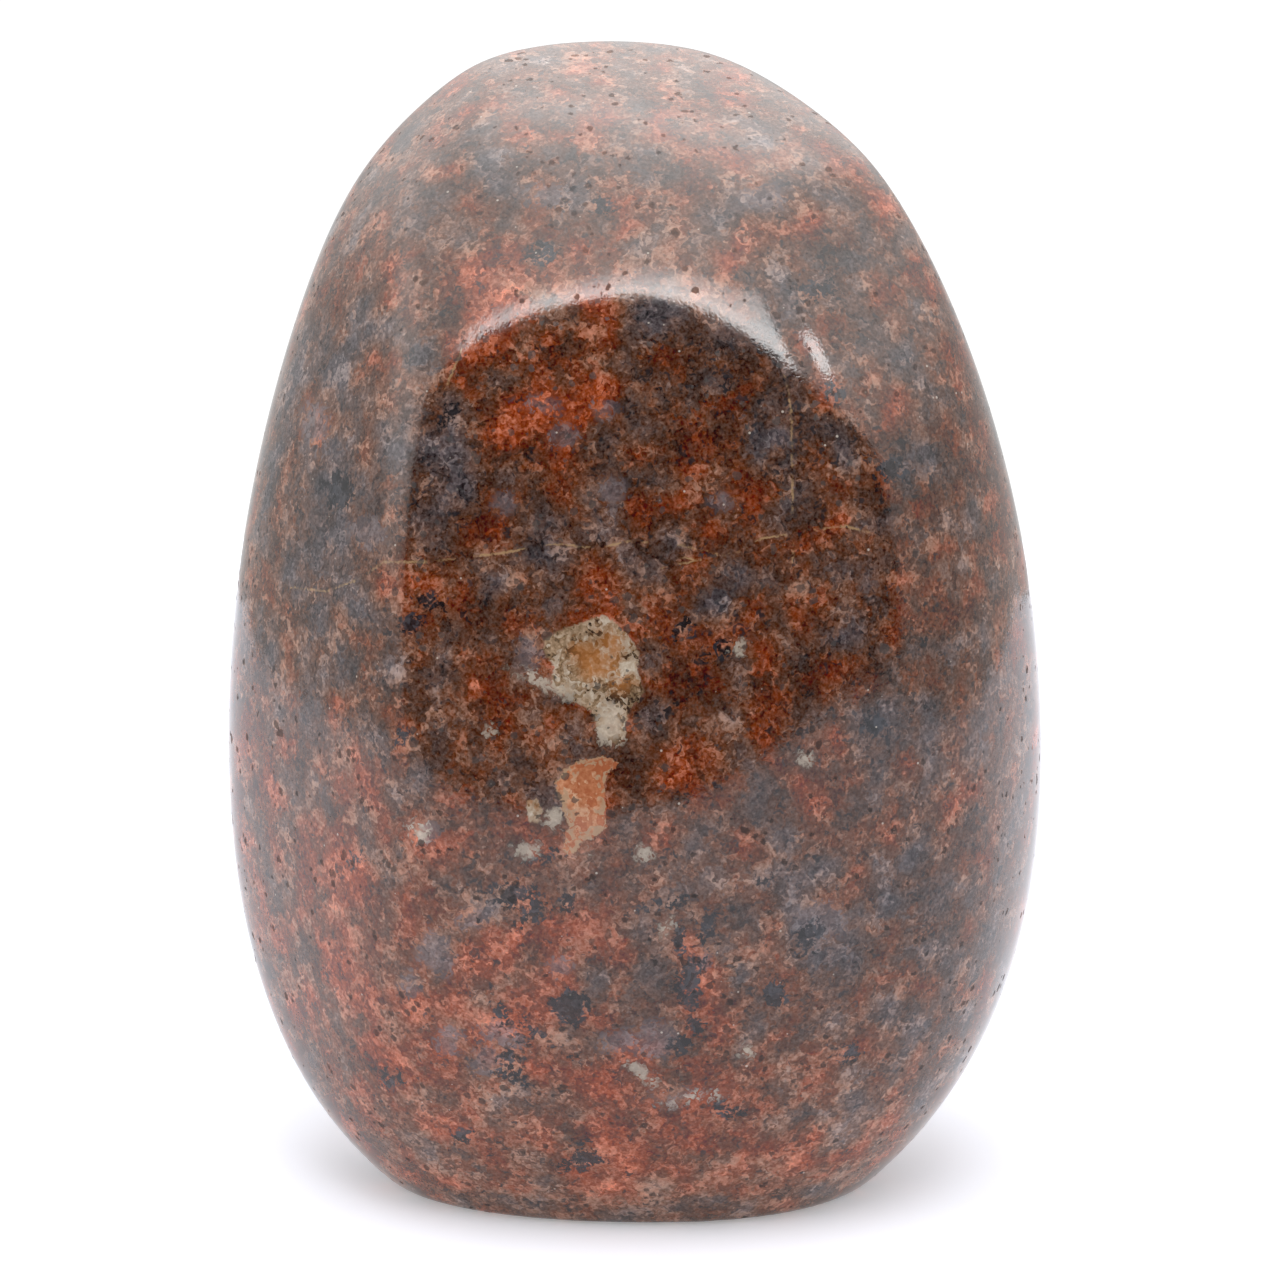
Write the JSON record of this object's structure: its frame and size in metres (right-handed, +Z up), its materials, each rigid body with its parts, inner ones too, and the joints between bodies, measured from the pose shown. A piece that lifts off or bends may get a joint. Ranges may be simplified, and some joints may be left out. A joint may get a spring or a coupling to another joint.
{
  "type": "polished dolomite stone",
  "caption": "Polished free-form dolomite stone: an upright egg ground into soft flats, standing on its flat cut base.",
  "frame": {"origin": "middle of the flat cut base: the height is the base's, and the place along X and Y is the middle of the stone's bounding box", "axes": "+Z up along the stone's height, -Y out of the broad front flat that faces the camera, +X to the camera's right"},
  "size_m": [0.086, 0.0684, 0.1193],
  "materials": {
    "polished_dolomite": "polished"
  },
  "bodies": {
    "root": {"dolomite_stone": "polished_dolomite"}
  },
  "joints": []
}
